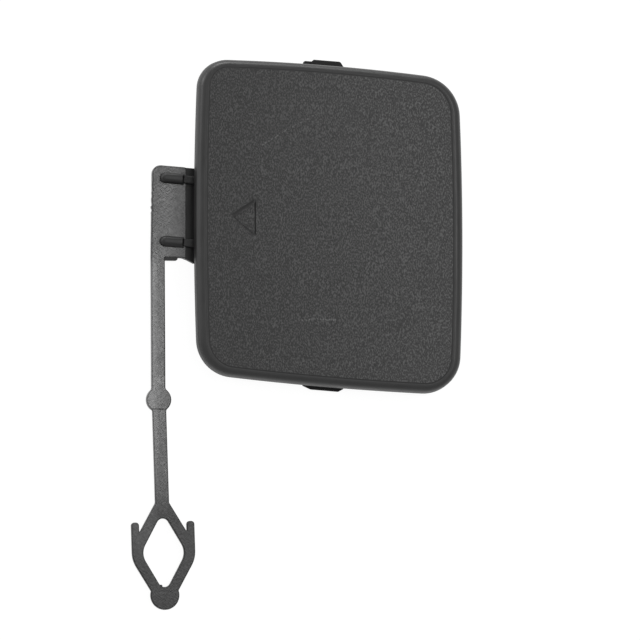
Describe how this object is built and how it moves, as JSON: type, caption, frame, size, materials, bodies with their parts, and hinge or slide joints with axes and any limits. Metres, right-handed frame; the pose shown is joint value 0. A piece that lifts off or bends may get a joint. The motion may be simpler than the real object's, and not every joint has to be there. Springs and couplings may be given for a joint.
{
  "type": "bumper tow hook cover",
  "caption": "Rounded bumper cover plate with a crowned face, rolled edge, snap clips, ribbed side tongue and a tether strap that ends in a barbed loop.",
  "frame": {"origin": "middle of the cover, in the plane of its back edge, on which it lies face up", "axes": "+Z out of the face, +Y towards the top edge with the upper clip, +X away from the tongue; the strap runs towards -Y"},
  "size_m": [0.0921, 0.1533, 0.0127],
  "materials": {
    "moulded_plastic": "unpainted black plastic, fine grain on the face, smooth satin on the edge, tongue and strap"
  },
  "bodies": {
    "root": {"tow_hook_cover": "moulded_plastic"}
  },
  "joints": []
}
